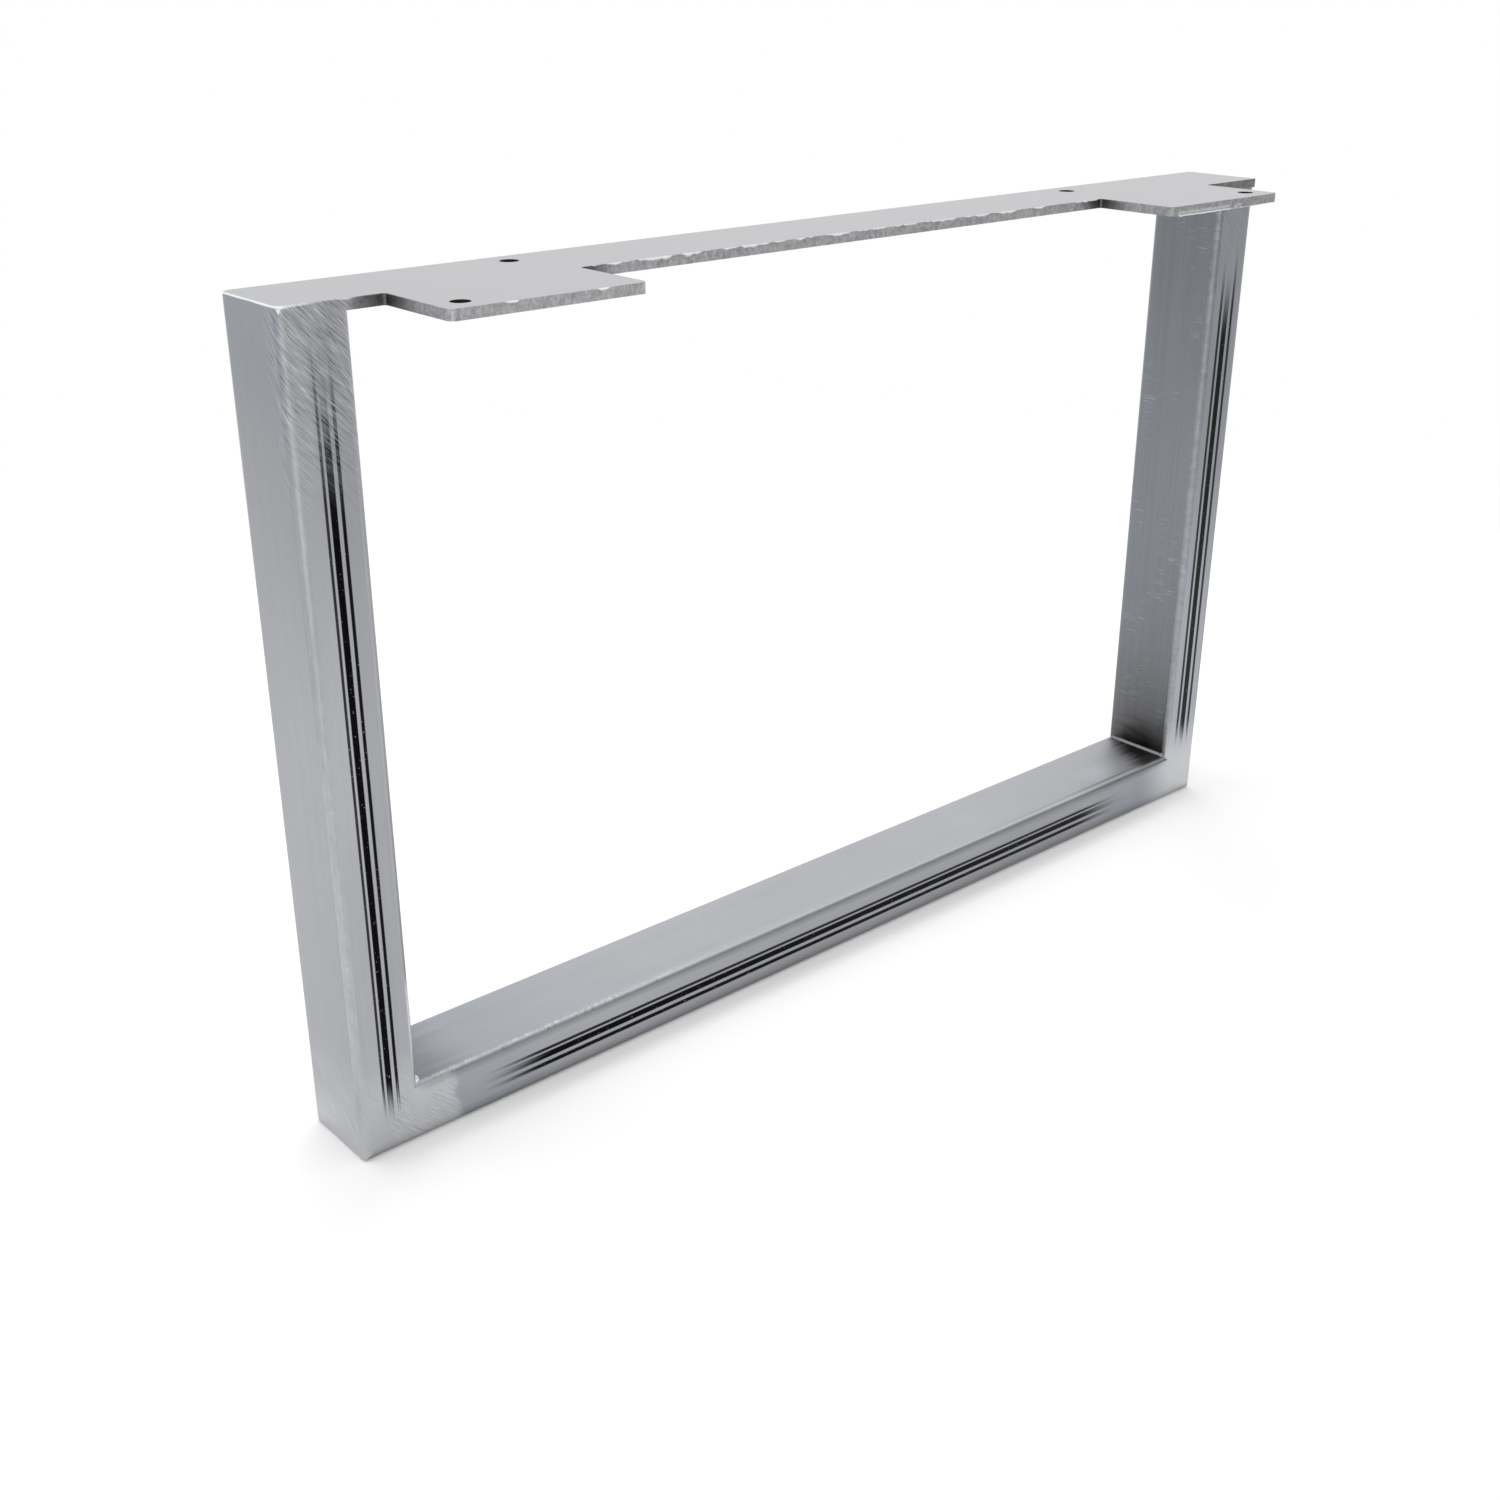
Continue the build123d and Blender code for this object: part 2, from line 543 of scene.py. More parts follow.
        # Ragged burr from the left corner on, painted bright as a highlight, over a broken painted dark line
        towards_front = self.ny.step(-0.2, -0.4)
        shaded = self.noise(self.place, (380, 120, 120), detail=4, roughness=0.65).step(0.48, 0.34)
        shaded = shaded * self.x.over(-60, -250) * self.nz.line(0.5, 0.16, 0.1) * towards_front
        burr = self.noise(self.place, (420, 120, 120), detail=4, roughness=0.65).step(0.38, 0.66)
        patchy = self.noise(self.place, (40, 40, 40), detail=2).step(0.25, 0.6) * 0.6 + 0.4
        burr = burr * patchy * self.x.over(-90, -270) * self.nz.line(0.76, 0.11, 0.07) * towards_front
        return self.blend(burr, tone * (1.0 - shaded * 0.3), 0.9)

    def tints(self):
        """Colour without its tone: bluer where welding warmed the steel, brown where it burnt it."""
        if self.bar:
            near_weld = self.x.over(100, -100) * self.heat_and_shade.step(0.0, 0.2) * 0.6
            blue = near_weld.most(self.front * abs(self.x).over(262, 300))
        elif self.left:
            blue = self.inward.most(self.facing_left * self.z.over(390, 485))
        else:
            blue = (self.inward * (1.0 - self.heat_and_shade)).most(self.front * 0.8)
        colour = self.tint(blue, DRAWN, BLUED)
        colour = self.tint(self.heat_and_shade * self.right_side, colour, BROWNED)
        return self.tint(self.ground, colour, GROUND)

    def made(self):
        """The whole material."""
        grit = self.noise(self.place, (900, 900, 900), detail=2)
        grain = (self.fine - 0.5) * FINE_LINES + (self.broad - 0.5) * BROAD_LINES + (grit - 0.5) * GRIT
        tone = self.drawn_tone() + grain * (1.0 - self.ground * 0.7)
        tone = tone + (self.cloud - 0.5) * CLOUDS + self.roll_marks()
        tone = self.blend(self.ground, tone, self.ground_tone())
        dark = self.front_line_darkness()
        roughness = 0.33 + (self.fine - 0.5) * 0.08 + self.ground * 0.03
        height = self.fine * 0.5 + self.broad * 0.4 + self.ground * self.marks * self.patches * 0.1
        if self.left:
            worked = ground_under_plate(self)
            tone = self.blend(worked, tone, ground_top_tone(self, self.marks))
            dark = dark * (1.0 - worked * (self.marks * 0.3 + 0.35))
            roughness = roughness + worked * 0.15
            height = height + worked * self.marks * 0.2
        elif self.right:
            tone = tone + self.marks * self.z.over(425, 480) * self.front.most(self.edge) * 0.06
        else:
            tone = self.bar_front_light_and_shade(tone)
            roughness = roughness + self.inward * 0.17
        colour = self.shade(self.tints(), tone * (1.0 - dark) * (1.0 - self.heat_and_shade))
        return self.finish(colour, roughness, height, TUBE_RELIEF)


# How far the painted shade reaches from the roots of the tabs
ROOT_SHADE_REACH = ((tab_outer, 38 * MM), (tab_inner, 29 * MM))


def cut_edge_tone(steel, cut, pits):
    """Reflectance of the plate's torch-cut edges, with painted shade at the tab roots and on the left-facing
    edges at the right tab, and darker over the right upright.
    """
    tone = PLATE_EDGE + steel.x.over(-200, -230) * 0.045 - steel.x.over(200, 230) * 0.05
    tone = tone - steel.facing_left * steel.x.over(200, 215) * 0.07
    tone = tone + (cut - 0.5) * 0.45 + (pits - 0.5) * 0.5
    # Darker over the right upright, and painted shade in the corners at the tab roots
    darkening = steel.x.over(338, 350) * 0.55
    for root, reach in ROOT_SHADE_REACH:
        away = abs(abs(steel.x) - root).most(abs(steel.y - strip_front))
        darkening = darkening.most(away.step(reach, 2 * MM))

    # The painted shade is lighter on the rounded roots, as a painted highlight, most of all on the last one
    # at the right
    in_fillet = abs(abs(steel.nx) - abs(steel.ny)).step(0.5, 0.2)
    fillet_light = steel.blend(steel.x.over(330, 338), 0.15, 0.7)
    return tone.most(0.15) * (1.0 - darkening * (1.0 - in_fillet * fillet_light) * 0.76)


def flush_edge_tone(steel, marks, worked):
    """Reflectance of the plate's edge over the left upright, where it was ground flush with the tube."""
    fine, broad = drawing_lines(steel)
    mill_tone = TONES["left_upright"][0] + (fine - 0.5) * FINE_LINES + (broad - 0.5) * BROAD_LINES
    mill_tone = mill_tone + (mill_clouds(steel) - 0.5) * CLOUDS
    return steel.blend(worked, mill_tone, ground_top_tone(steel, marks))


def plate_finish():
    """Plate steel: pale matt faces, rough cut edges, and bare bright metal on the burrs, painted near white
    as highlights.
    """
    steel = Finish("plate_steel_worn")
    bare = steel.attribute("bare")
    flat = abs(steel.nz).step(0.75, 0.95)
    flush = steel.x.step(-bead_corner_x + 3 * MM, -bead_corner_x - 2 * MM)
    grain = steel.noise(steel.place, (30, 500, 30), detail=3)
    cloud = steel.noise(steel.place, (14, 20, 14), detail=3)
    grit = steel.noise(steel.place, (800, 800, 800), detail=2)
    cut = steel.noise(steel.place, (380, 380, 230), detail=3, roughness=0.6)
    pits = steel.noise(steel.place, (650, 650, 650), detail=3, roughness=0.6)
    marks = grinder_marks(steel)
    worked = ground_under_plate(steel)

    face_tone = PLATE_FACE + (grain - 0.5) * 0.05 + (cloud - 0.5) * 0.06 + (grit - 0.5) * 0.05
    face_tone = face_tone - steel.x.over(-270, -340) * 0.008
    side_tone = steel.blend(flush, cut_edge_tone(steel, cut, pits), flush_edge_tone(steel, marks, worked))
    tone = steel.blend(bare, steel.blend(flat, side_tone, face_tone), BURR_GLINT)

    on_flush_side = flush * (1.0 - flat)
    mill_colour = steel.tint(steel.facing_left, DRAWN, BLUED)
    colour = steel.shade(steel.tint(on_flush_side * (1.0 - bare), PLATE, mill_colour), tone)
    roughness = steel.blend(flat, 0.46 + (cut - 0.5) * 0.2, 0.36 + (cloud - 0.5) * 0.08)
    roughness = steel.blend(on_flush_side, roughness, worked * 0.15 + 0.33)
    roughness = steel.blend(bare, roughness, 0.3)
    side_height = steel.blend(flush, cut + pits * 0.8, marks * 0.06)
    height = steel.blend(flat, side_height, grain * 0.25)
    return steel.finish(colour, roughness, height, PLATE_RELIEF)


def bore_finish():
    """Drilled wall of a screw hole, nearly black."""
    steel = Finish("bore_dark")
    turns = steel.noise(steel.place, (90, 90, 1500), detail=2)
    tone = 0.02 + (turns - 0.5) * 0.02
    return steel.finish(steel.shade(GROUND, tone), 0.5 + (turns - 0.5) * 0.2, turns, BORE_RELIEF)


def bead_finish():
    """Lumpy weld metal, darker on the right bead, with a painted highlight on the front end of the left one.
    """
    steel = Finish("bead_metal")
    lumps = steel.noise(steel.place, (500, 900, 500), detail=3)
    tone = steel.blend(steel.x.over(-100, 100), 0.38, 0.3) + (lumps - 0.5) * 0.3
    # Painted highlight on the front end of the left bead
    tone = steel.blend(steel.y.over(-24, -27) * steel.x.over(100, -100), tone, 0.85)
    return steel.finish(steel.shade(GROUND, tone), 0.30 + (lumps - 0.5) * 0.2, lumps, BEAD_RELIEF)


def wave(place, per_metre, lane):
    """Smooth noise from -1 to 1 along one line, a different one for each lane."""
    return noise.noise(Vector((place * per_metre, lane * 7.3, 1.7)))


def clamp(value):
    return max(0.0, min(1.0, value))


def hump(place, middle, half):
    """1 in the middle, falling to 0 at half to either side."""
    return max(0.0, 1.0 - ((place - middle) / half) ** 2)


# Outline of the plate: spacing of its points, points on each round corner, and radius of the sharp corners
LINE_STEP = 0.8 * MM
ARC_POINTS = 8
SHARP_RADIUS = 0.3 * MM


def plate_outline():
    """Outline of the plate, anticlockwise from above: points with their inward normal.

    The strip's left corners were ground round with the tube, and its right ones are sharp.
    """
    corners = [(-half_width, strip_back, tube_corner_radius), (-half_width, strip_front, tube_corner_radius)]
    for left, right in ((-tab_outer, -tab_inner), (tab_inner, tab_outer)):
        corners.append((left, strip_front, tab_root_radius))
        corners.append((left, tab_front, tab_corner_radius))
        corners.append((right, tab_front, tab_corner_radius))
        corners.append((right, strip_front, tab_root_radius))
    corners += [(half_width, strip_front, SHARP_RADIUS), (half_width, strip_back, SHARP_RADIUS)]
    count = len(corners)
    samples = []
    for i, (x, y, radius) in enumerate(corners):
        corner = Vector((x, y))
        after = Vector(corners[(i + 1) % count][:2])
        heading_in = (corner - Vector(corners[i - 1][:2])).normalized()
        heading_out = (after - corner).normalized()
        turn = 1.0 if heading_in.cross(heading_out) > 0 else -1.0
        inward = Vector((-heading_in.y, heading_in.x))
        centre = corner - heading_in * radius + inward * (radius * turn)
        for k in range(ARC_POINTS + 1):
            angle = turn * math.pi / 2 * k / ARC_POINTS
            normal = Vector((
                inward.x * math.cos(angle) - inward.y * math.sin(angle),
                inward.x * math.sin(angle) + inward.y * math.cos(angle),
            ))
            samples.append((centre - normal * (radius * turn), normal))
        start = corner + heading_out * radius
        end = after - heading_out * corners[(i + 1) % count][2]
        steps = round((after - corner).length / LINE_STEP)
        inward = Vector((-heading_out.y, heading_out.x))
        for k in range(1, steps):
            samples.append((start.lerp(end, k / steps), inward))
    return samples


# Slack used when points of the outline are told apart by their place
PICK_SLACK = 0.5 * MM

# Burrs on the upper front edge of the left tab: middle and half length
TAB_BURRS = ((-304.5 * MM, 5 * MM), (-249 * MM, 4.5 * MM))


# Wear of the plate's upper edge, one function for each stretch. Each gives the depth in millimetres, and how
# bright the upper half and the lower half of the edge are painted, as a highlight.
def flush_wear(x, y):
    """Wear over the left upright: ground down unevenly with its front, and burred at the corner."""
    round_corner = clamp((y - strip_front) / tube_corner_radius)
    near_corner = clamp((-half_width + 21 * MM - x) / (6 * MM))
    second_lip = hump(x, -bead_corner_x - 1.5 * MM, 6 * MM)
    ground = 0.15 + 0.5 * max(0.0, wave(x, 85, 4) + 0.5 * wave(x, 230, 5) + 0.25)
    ground += (1.0 + 0.3 * wave(x, 230, 5) - ground) * max(near_corner, 0.75 * second_lip)
    depth = ground + (0.5 - ground) * round_corner
    low_bright = clamp((-half_width + 6.5 * MM - x) / (3 * MM))
    return depth, max(low_bright, 0.55 * near_corner, 0.4 * second_lip), low_bright


def scallop_wear(x):
    """Scallops of the torch along the strip between the tabs, rougher towards the left."""
    ends = min(1.0, (tab_inner - abs(x)) / (16 * MM))
    rougher = clamp((-70 * MM - x) / (60 * MM))
    dip = wave(x, 75, 2) + 0.55 * wave(x, 190, 3) + 0.3 * wave(x, 430, 13) + 0.25
    dip += rougher * (0.2 + 0.7 * wave(x, 110, 23) + 0.4 * wave(x, 260, 24))
    dip = min(1.1, max(0.0, dip)) * ends
    return 2.0 * dip, min(0.85, 5.0 * dip), 0.0


def tab_wear(x):
    """Small chips along the front of the tabs, and the two burrs of the left one."""
    chip = 0.35 * max(0.0, wave(x, 90, 15) + 0.4 * wave(x, 300, 16) - 0.2)
    for middle, half in TAB_BURRS:
        chip = max(chip, hump(x, middle, half) * (0.75 + 0.5 * wave(x, 420, 17)))
    bright = min(1.0, 1.8 * chip)
    return 1.2 * chip, bright, 0.6 * bright


def top_wear(x, y):
    """Wear of the plate's upper edge at that place, with its depth in metres."""
    worn = (0.0, 0.0, 0.0)
    if x < -tab_outer - 3 * MM and y < strip_front + tube_corner_radius:
        worn = flush_wear(x, y)
    elif x < -half_width + tube_corner_radius:
        # Burr along the left end
        worn = (0.5 + 0.25 * wave(y, 130, 10), 1.0, 1.0)
    elif x > half_width - 1 * MM:
        worn = (0.0, 0.3, 0.0)
    elif abs(y - strip_front) < PICK_SLACK and abs(x) < tab_inner - 4 * MM:
        worn = scallop_wear(x)
    elif abs(y - tab_front) < PICK_SLACK:
        worn = tab_wear(x)
    depth, bright, low_bright = worn
    depth += 0.18 + 0.08 * wave(x + y, 420, 1)
    return depth * MM, bright, low_bright


# Dross under the front edge of the right tab: a whole run, then broken bits. One ring of the side is set back
# above it, as a neck.
DROSS_START = 226 * MM
DROSS_BREAKS = 286 * MM
DROSS_END = 326 * MM
DROSS_NECK = 1.1 * MM
DROSS_NECK_RING = 1


def bottom_dross(x, y):
    """How far dross hangs under the plate's lower edge there, and how bright it is painted, as a highlight.
    """
    if abs(y - tab_front) > PICK_SLACK or not DROSS_START < x < DROSS_END:
        return 0.0, 0.0
    hang = 0.75 + 0.6 * wave(x, 110, 6) + 0.4 * wave(x, 330, 7)
    if x > DROSS_BREAKS:
        hang = 1.6 * wave(x, 130, 18)
    hang = max(0.0, hang) * min(1.0, (x - DROSS_START) / (4 * MM))
    return 0.75 * hang * MM, min(1.0, 1.6 * hang)


class PlateMesh:
    """Mesh of the plate, made of rings of points that carry their own share of bare bright metal."""

    def __init__(self):
        self.maker = bmesh.new()
        self.bare = self.maker.verts.layers.float.new("bare")

    def ring(self, points):
        verts = []
        for place, bare in points:
            vert = self.maker.verts.new(place)
            vert[self.bare] = bare
            verts.append(vert)
        return verts

    def skin(self, lower, upper, material=0):
        """Faces between two rings."""
        for i in range(len(lower)):
            j = (i + 1) % len(lower)
            face = self.maker.faces.new((lower[i], lower[j], upper[j], upper[i]))
            face.material_index = material
            face.smooth = True

    def fill(self, loops):
        """Flat face inside the first loop and outside the others, with a sharp border."""
        edges = []
        for loop in loops:
            for i in range(len(loop)):
                border = self.maker.edges.get((loop[i], loop[(i + 1) % len(loop)]))
                border.smooth = False
                edges.append(border)
        made = bmesh.ops.triangle_fill(self.maker, edges=edges, use_beauty=True)
        for item in made["geom"]:
            if isinstance(item, bmesh.types.BMFace):
                item.smooth = False


# Sides of the plate: heights of their rings as shares, rings of the worn rim and its slope, the lip behind
# it, how far the sides lie inside the CAD's, and how rough they are
SIDE_SHARES = (0.0, 0.2, 0.4, 0.6, 0.8, 0.94, 1.0)
RIM_RINGS = 4
RIM_SLOPE = 0.6
LIP = 0.35 * MM
SKIN = 0.06 * MM
FINE_ROUGH = 0.06 * MM
BROAD_ROUGH = 0.05 * MM


def side_ring(outline, wear, k):
    """One ring of the plate's sides: rough where the torch cut them, smooth where they were ground flush."""
    share = SIDE_SHARES[k]
    points = []
    for (place, normal), (drop, _, low_bright) in zip(outline, wear):
        hang, dross = bottom_dross(place.x, place.y)
        low = plate_under - hang
        high = plate_top - drop
        inset = SKIN + FINE_ROUGH * wave(place.x + place.y, 900, 8)
        inset += BROAD_ROUGH * wave(place.x - place.y, 330, 9 + k)
        if place.x < -bead_corner_x:
            inset = SKIN * share
        if k == DROSS_NECK_RING:
            inset += DROSS_NECK * dross
        spot = place + normal * max(0.0, inset)
        # Painted highlight on the dross and along the top of the sides
        highlight_share = dross * (1.0 - share) ** 4 + (low_bright if share == 1.0 else 0.0)
        points.append(((spot.x, spot.y, low + (high - low) * share), highlight_share))
    return points


def rim_ring(outline, wear, share):
    """One ring of the worn upper edge: a chamfer as deep as it is worn, with a painted highlight brightest at
    its top.
    """
    points = []
    for (place, normal), (drop, bright, low_bright) in zip(outline, wear):
        spot = place + normal * (SKIN + RIM_SLOPE * drop * share)
        highlight_share = low_bright + (bright - low_bright) * min(1.0, 1.4 * share)
        points.append(((spot.x, spot.y, plate_top - drop * (1.0 - share)), highlight_share))
    return points


def lip_ring(outline, wear):
    """A narrow flat border behind the rim, where the brightness of the burr ends."""
    points = []
    for (place, normal), (drop, _, _) in zip(outline, wear):
        spot = place + normal * (SKIN + RIM_SLOPE * drop + LIP)
        points.append(((spot.x, spot.y, plate_top), 0.0))
    return points


# Screw holes: points round them, size of their broken edges, and the material of their wall
HOLE_POINTS = 48
HOLE_BREAK = 0.12 * MM
BORE_MATERIAL = 1


def add_hole(mesh, centre_x, centre_y, radius):
    """Screw hole with a small broken edge at both ends; gives its lowest and its highest ring."""
    levels = (
        (plate_under, radius + HOLE_BREAK),
        (plate_under + HOLE_BREAK, radius),
        (plate_top - HOLE_BREAK, radius),
        (plate_top, radius + HOLE_BREAK),
    )
    rings = []
    for z, size in levels:
        points = []
        for k in range(HOLE_POINTS):
            angle = -2 * math.pi * k / HOLE_POINTS
            spot = (centre_x + size * math.cos(angle), centre_y + size * math.sin(angle), z)
            points.append((spot, 0.0))
        rings.append(mesh.ring(points))
    lowest, bore_low, bore_high, highest = rings
    mesh.skin(lowest, bore_low)
    mesh.skin(bore_low, bore_high, material=BORE_MATERIAL)
    mesh.skin(bore_high, highest)
    return lowest, highest


# Flap of metal at the plate's front left corner: its span round the corner, how far under the top it starts,
# how far it hangs, its thickness and taper, and how deep its root sits
BURR_START = math.radians(206)
BURR_END = math.radians(254)
BURR_STEPS = 8
BURR_TOP = 0.7 * MM
BURR_HANG = 3.2 * MM
BURR_LEAST_HANG = 0.15 * MM
BURR_THICK = 0.4 * MM
BURR_TAPER = 0.15 * MM
BURR_ROOT = 0.3 * MM


def add_corner_burr(mesh):
    """Flap of metal that the grinder pushed over the plate's front left corner, hanging to a point."""
    centre_x = -half_width + tube_corner_radius
    centre_y = strip_front + tube_corner_radius
    top = plate_top - BURR_TOP
    deep = tube_corner_radius - BURR_ROOT
    rows = []
    for k in range(BURR_STEPS + 1):
        share = k / BURR_STEPS
        angle = BURR_START + (BURR_END - BURR_START) * share
        low = top - BURR_LEAST_HANG - BURR_HANG * (1.0 - abs(2.0 * share - 1.0)) ** 1.3
        out = tube_corner_radius + BURR_THICK * math.sin(math.pi * (0.1 + 0.8 * share))
        points = []
        for size, z in ((deep, top), (out, top), (out - BURR_TAPER, low), (deep, low)):
            spot = (centre_x + size * math.cos(angle), centre_y + size * math.sin(angle), z)
            points.append((spot, 1.0))
        rows.append(mesh.ring(points))
    for first, second in zip(rows, rows[1:]):
        for i in range(4):
            j = (i + 1) % 4
            mesh.maker.faces.new((first[i], first[j], second[j], second[i])).smooth = i == 1
    mesh.maker.faces.new(rows[0])
    mesh.maker.faces.new(rows[-1])


def finish_piece(name, mesh_maker, materials):
    mesh = bpy.data.meshes.new(name)
    mesh_maker.to_mesh(mesh)
    mesh_maker.free()
    for material in materials:
        mesh.materials.append(material)
    piece = bpy.data.objects.new(name, mesh)
    bpy.context.scene.collection.objects.link(piece)
    return piece


def make_plate():
    mesh = PlateMesh()
    outline = plate_outline()
    wear = [top_wear(place.x, place.y) for place, _ in outline]
    rings = [mesh.ring(side_ring(outline, wear, k)) for k in range(len(SIDE_SHARES))]
    rings += [mesh.ring(rim_ring(outline, wear, k / RIM_RINGS)) for k in range(1, RIM_RINGS + 1)]
    rings.append(mesh.ring(lip_ring(outline, wear)))
    for lower, upper in zip(rings, rings[1:]):
        mesh.skin(lower, upper)

    bottom_loops = [rings[0]]
    top_loops = [rings[-1]]
    for mount in frame["record"]["mounts"]:
        if mount["kind"] != "bolt_pattern":
            continue
        radius = mount["dims"]["hole_r_mm"] * MM
        for side in (-1, 1):
            centre_x = side * mount["dims"]["spacing_x_mm"] * MM / 2
            lowest, highest = add_hole(mesh, centre_x, mount["pos_m"][1], radius)
            bottom_loops.append(lowest)
            top_loops.append(highest)
    mesh.fill(top_loops)
    mesh.fill(bottom_loops)

    add_corner_burr(mesh)
    bmesh.ops.recalc_face_normals(mesh.maker, faces=mesh.maker.faces)
    return finish_piece("top_plate_worn", mesh.maker, [plate_finish(), bore_finish()])


# Weld beads: sections along them, points on each arc, and how far the ends run onto the tubes' round edges
BEAD_STATIONS = 140
BEAD_ARC = 10
BEAD_FRONT_RUN = 3.4 * MM
BEAD_BACK_RUN = 1.0 * MM

# Size of a bead, its ripples and its swells as shares of the leg, its bulge, its rounded ends, and how deep
# its root sits in the tubes
BEAD_SIZE = 0.68
RIPPLE_SIZE = 0.07
RIPPLE_PITCH = 2.4 * MM
SWELL_SIZE = 0.10
BEAD_BULGE = 0.55
BEAD_END = 1.2 * MM
LEAST_END = 0.04
ROOT_DEPTH = 0.3 * MM

# Blob at the front end of a bead
BLOB_SIZE = 0.32
BLOB_PLACE = 1.4 * MM
BLOB_HALF = 1.5 * MM


def rounded_end(distance):
    """Share of the bead's full size at that distance from one of its ends."""
    return math.sqrt(max(0.0, 1.0 - (max(0.0, BEAD_END - distance) / BEAD_END) ** 2))


def make_bead(name, side, material):
    """Rippled fillet bead in one inside corner; side is -1 at the left upright and 1 at the right one."""
    leg = bead_high.x - bead_low.x
    front = bead_low.y - BEAD_FRONT_RUN
    back = bead_high.y + BEAD_BACK_RUN
    mesh_maker = bmesh.new()
    sections = []
    for k in range(BEAD_STATIONS + 1):
        y = front + (back - front) * (k / BEAD_STATIONS)
        outside = max(0.0, abs(y) - bead_high.y)
        sunk = tube_corner_radius - math.sqrt(max(0.0, tube_corner_radius**2 - outside**2))
        corner_x = bead_corner_x + sunk
        corner_z = bead_low.z - sunk
        ripple = RIPPLE_SIZE * math.sin(2 * math.pi * y / RIPPLE_PITCH + 2.0 * wave(y, 60, 20 + side))
        swell = SWELL_SIZE * wave(y, 90, 22 + side)
        blob = BLOB_SIZE * math.exp(-(((y - front - BLOB_PLACE) / BLOB_HALF) ** 2))
        size = min(1.0, BEAD_SIZE + ripple + swell + blob)
        size *= leg * max(rounded_end(y - front) * rounded_end(back - y), LEAST_END)
        section = [(corner_x + ROOT_DEPTH, corner_z - ROOT_DEPTH)]
        for i in range(BEAD_ARC + 1):
            angle = math.pi / 2 * i / BEAD_ARC
            flat_x, flat_z = 1.0 - i / BEAD_ARC, i / BEAD_ARC
            across = flat_x + BEAD_BULGE * (math.cos(angle) - flat_x)
            up = flat_z + BEAD_BULGE * (math.sin(angle) - flat_z)
            section.append((corner_x - size * across, corner_z + size * up))
        sections.append([mesh_maker.verts.new((side * x, y, z)) for x, z in section])
    count = len(sections[0])
    for lower, upper in zip(sections, sections[1:]):
        for i in range(count):
            j = (i + 1) % count
            mesh_maker.faces.new((lower[i], lower[j], upper[j], upper[i])).smooth = True
    mesh_maker.faces.new(sections[0])
    mesh_maker.faces.new(sections[-1])
    bmesh.ops.recalc_face_normals(mesh_maker, faces=mesh_maker.faces)
    return finish_piece(name, mesh_maker, [material])


# The tubes keep their CAD shape
for node in TONES:
    tube = frame["nodes"][node]
    tube.data.materials.clear()
    tube.data.materials.append(TubeSteel(node).made())

plate = make_plate()
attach(plate, "root")
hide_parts("top_plate")

bead_material = bead_finish()
for name, side in (("left_corner_weld", -1), ("right_corner_weld", 1)):
    bead = make_bead(name + "_bead", side, bead_material)
    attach(bead, "root")
    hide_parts(name)


# Camera at the photo's viewpoint
CAMERA_PLACE = Vector((-0.80404, -0.84125, 0.65803))
CAMERA_TURN = math.radians(41.007)
CAMERA_DIP = math.radians(23.970)
CAMERA_LENS = 43.394
CAMERA_SENSOR = 36.0
camera = bpy.data.objects.new("camera", bpy.data.cameras.new("camera"))
camera.data.sensor_fit = "HORIZONTAL"
camera.data.sensor_width = CAMERA_SENSOR
camera.data.lens = CAMERA_LENS
camera.location = CAMERA_PLACE
camera.rotation_euler = (math.pi / 2 - CAMERA_DIP, 0.0, -CAMERA_TURN)
bpy.context.scene.collection.objects.link(camera)
bpy.context.scene.camera = camera

# Pale round floor that fades out towards its rim, lifted a little towards white where it is seen
FLOOR_RADIUS = 1.6
FLOOR_POINTS = 128
FADE_START = 0.7
FLOOR_COLOUR = (0.9, 0.9, 0.9, 1.0)
FLOOR_LIFT = 0.1
floor_maker = bmesh.new()
bmesh.ops.create_circle(floor_maker, cap_ends=True, segments=FLOOR_POINTS, radius=FLOOR_RADIUS)
floor_paint = bpy.data.materials.new("floor_paint")
floor_paint.use_nodes = True
floor_graph = Graph(floor_paint.node_tree)
paint = floor_graph.node("ShaderNodeBsdfDiffuse")
paint.inputs["Color"].default_value = FLOOR_COLOUR
lift = floor_graph.node("ShaderNodeEmission")
floor_graph.feed(lift.inputs["Strength"], floor_graph.shown() * FLOOR_LIFT)
lifted = floor_graph.node("ShaderNodeAddShader")
floor_graph.tree.links.new(paint.outputs[0], lifted.inputs[0])
floor_graph.tree.links.new(lift.outputs[0], lifted.inputs[1])
floor_coordinates = floor_graph.node("ShaderNodeTexCoord")
floor_x, floor_y = floor_graph.split(floor_graph.output(floor_coordinates, "Object"))[:2]
from_middle = floor_graph.math("SQRT", floor_x * floor_x + floor_y * floor_y)
rim = floor_graph.node("ShaderNodeMixShader")
floor_graph.feed(rim.inputs["Fac"], from_middle.step(FADE_START, FLOOR_RADIUS))
floor_graph.tree.links.new(lifted.outputs[0], rim.inputs[1])
floor_graph.tree.links.new(floor_graph.node("ShaderNodeBsdfTransparent").outputs[0], rim.inputs[2])
floor_graph.tree.links.new(rim.outputs[0], floor_graph.node("ShaderNodeOutputMaterial").inputs["Surface"])
floor = finish_piece("floor", floor_maker, [floor_paint])

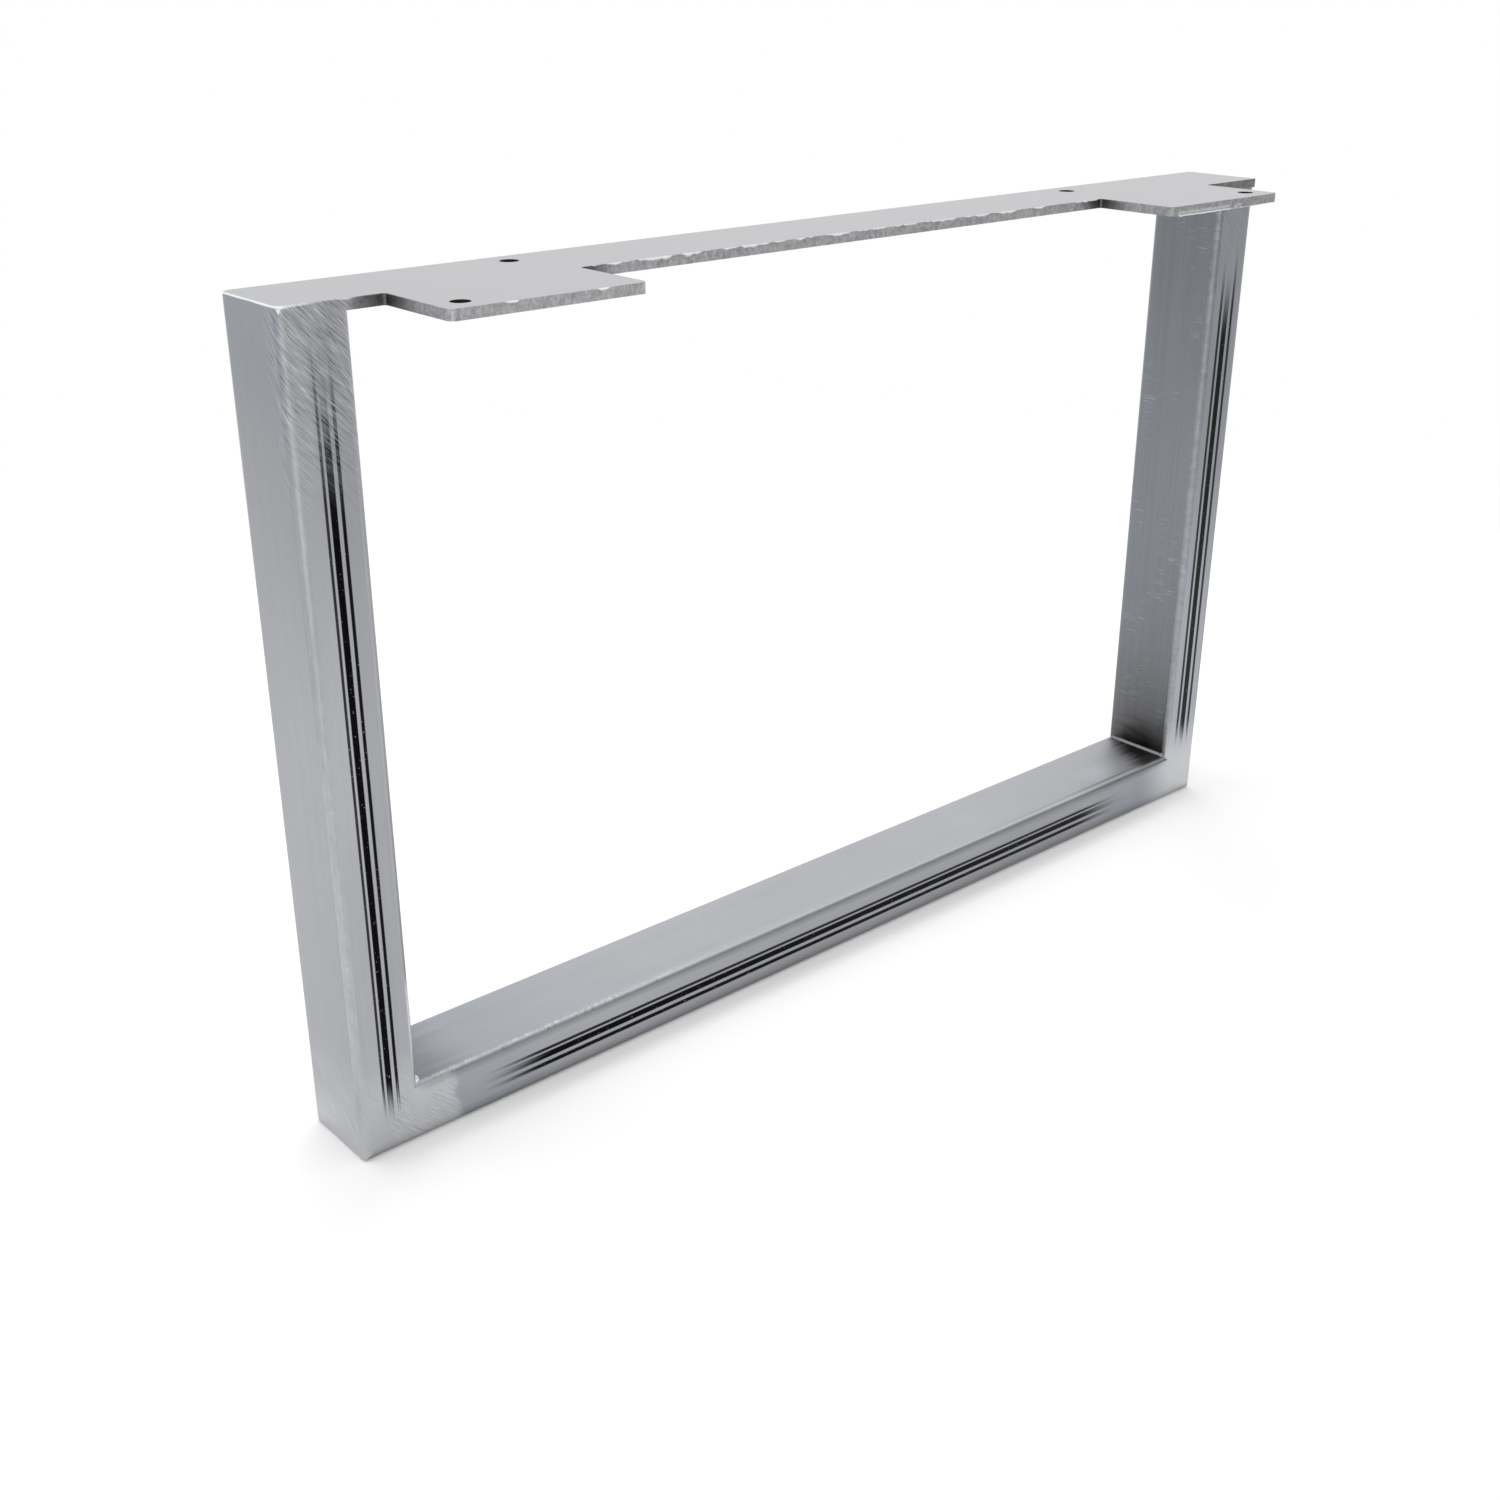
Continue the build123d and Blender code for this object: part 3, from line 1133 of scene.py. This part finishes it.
# Key light: a soft box above and a little behind the leg, for the close shadow in front of the bar. It is
# kept out of reflections, because the flat plate would mirror it when seen from above.
KEY_WIDTH = 3.0
KEY_DEPTH = 0.8
KEY_DISTANCE = 2.6
KEY_POWER = 19.5
KEY_TURN = math.radians(-10)
KEY_RISE = math.radians(70)
key_aim = Vector((
    math.sin(KEY_TURN) * math.cos(KEY_RISE),
    math.cos(KEY_TURN) * math.cos(KEY_RISE),
    math.sin(KEY_RISE),
))
key = bpy.data.objects.new("key", bpy.data.lights.new("key", "AREA"))
key.data.shape = "RECTANGLE"
key.data.size = KEY_WIDTH
key.data.size_y = KEY_DEPTH
key.data.energy = KEY_POWER
key.location = key_aim * KEY_DISTANCE
key.rotation_euler = key_aim.to_track_quat("Z", "Y").to_euler()
key.visible_glossy = False
bpy.context.scene.collection.objects.link(key)

# World: a white studio. Reflections see a grey wall with a darker panel to the right of the camera, and a
# paler wall to the left.
FILL = 0.95
RIGHT_PANEL = 0.22
RIGHT_WALL = 0.55
LEFT_WALL = 0.6
world = bpy.data.worlds.new("studio")
world.use_nodes = True
bpy.context.scene.world = world
studio = Graph(world.node_tree)
dx, dy, dz = studio.split(studio.output(studio.node("ShaderNodeTexCoord"), "Generated"))
ahead = dx * math.sin(CAMERA_TURN) + dy * math.cos(CAMERA_TURN)
aside = dx * math.cos(CAMERA_TURN) - dy * math.sin(CAMERA_TURN)
right_wall = aside.step(0.0, 0.6) * ahead.step(0.45, 0.0) * dz.step(0.6, 0.2)
left_wall = aside.step(0.0, -0.6) * ahead.step(0.65, 0.05) * dz.step(0.35, -0.1)
panel = dz.step(-0.2, 0.0) * ahead.step(-0.42, -0.15)
right_dim = right_wall * studio.blend(panel, 1.0 - RIGHT_WALL, 1.0 - RIGHT_PANEL)
left_dim = left_wall * (1.0 - LEFT_WALL)
mirrored = studio.output(studio.node("ShaderNodeLightPath"), "Is Glossy Ray")
level = studio.blend(studio.shown(), FILL, 1.0 - mirrored * right_dim.most(left_dim))
background = studio.node("ShaderNodeBackground")
background.inputs["Color"].default_value = (1.0, 1.0, 1.0, 1.0)
studio.feed(background.inputs["Strength"], level)
studio.tree.links.new(background.outputs[0], studio.node("ShaderNodeOutputWorld").inputs["Surface"])

bpy.context.scene.view_settings.view_transform = "Standard"
